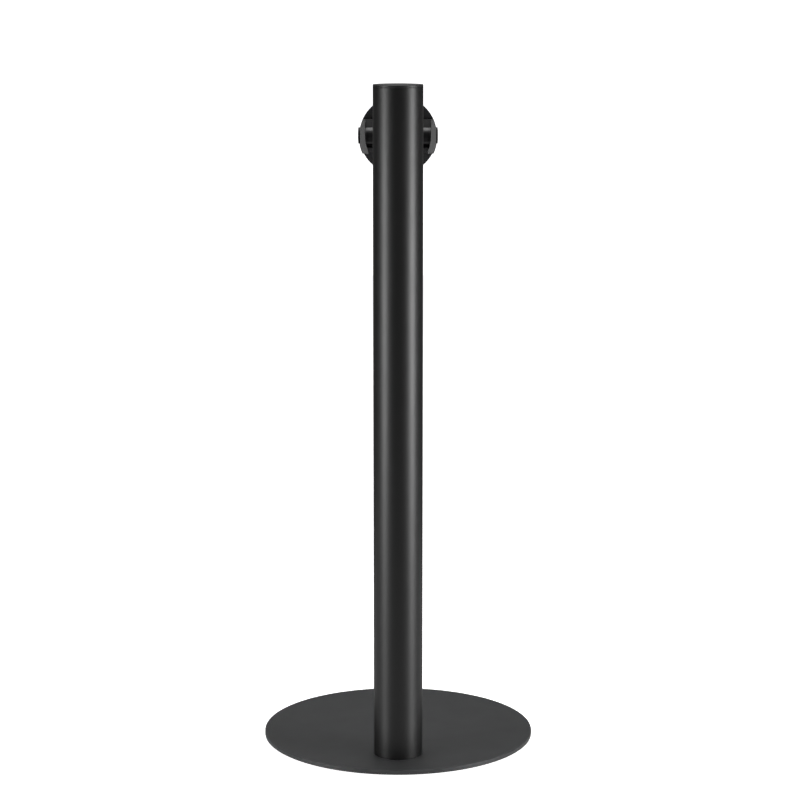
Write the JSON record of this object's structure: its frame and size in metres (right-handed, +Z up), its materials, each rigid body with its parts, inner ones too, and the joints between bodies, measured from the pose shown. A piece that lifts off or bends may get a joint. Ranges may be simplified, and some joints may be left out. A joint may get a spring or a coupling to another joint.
{
  "type": "rope barrier stanchion",
  "caption": "Black floor post on an offset round base, with a tilting round head behind its top that has a rope socket at each side.",
  "frame": {"origin": "centre of the round base's underside, on the floor", "axes": "+Z up along the post, +Y from the post towards the wide side of the base and the head, +X to the right seen from the post's side"},
  "size_m": [0.3599, 0.36, 0.876],
  "materials": {
    "tube_powder_coat": "satin black powder coat on steel",
    "plate_powder_coat": "matte black powder coat on steel",
    "casting_paint": "matte black powder coat on cast aluminium",
    "cap_plastic": "matte black moulded plastic",
    "black_steel": "black oxide steel, satin",
    "zinc_steel": "zinc plated steel",
    "bare_steel": "plain turned steel",
    "spring_steel": "blued spring steel",
    "bush_plastic": "black bearing plastic",
    "ring_rubber": "matte rubber",
    "mat_rubber": "matte rubber"
  },
  "bodies": {
    "stand": {"floor_mat": "mat_rubber", "base_plate": "plate_powder_coat", "base_screws": "zinc_steel", "foot_plug": "bare_steel", "post_tube": "tube_powder_coat", "top_cap": "cap_plastic", "cap_ring": "ring_rubber", "backing_plate": "bare_steel", "saddle_bracket": "casting_paint", "saddle_screws": "black_steel", "saddle_washers": "black_steel", "bush_left": "bush_plastic", "bush_right": "bush_plastic"},
    "head": {"yoke": "casting_paint", "face_plate": "casting_paint", "yoke_screws": "black_steel", "axle": "black_steel", "disc_springs": "spring_steel", "axle_nut": "black_steel", "friction_washer_left": "bush_plastic", "friction_washer_right": "bush_plastic"}
  },
  "joints": [
    {"name": "head_tilt", "type": "hinge", "parent": "stand", "child": "head", "pos_m": [0, -0.047, 0.8085], "axis": [1, 0, 0], "range_deg": [-40, 40]}
  ]
}
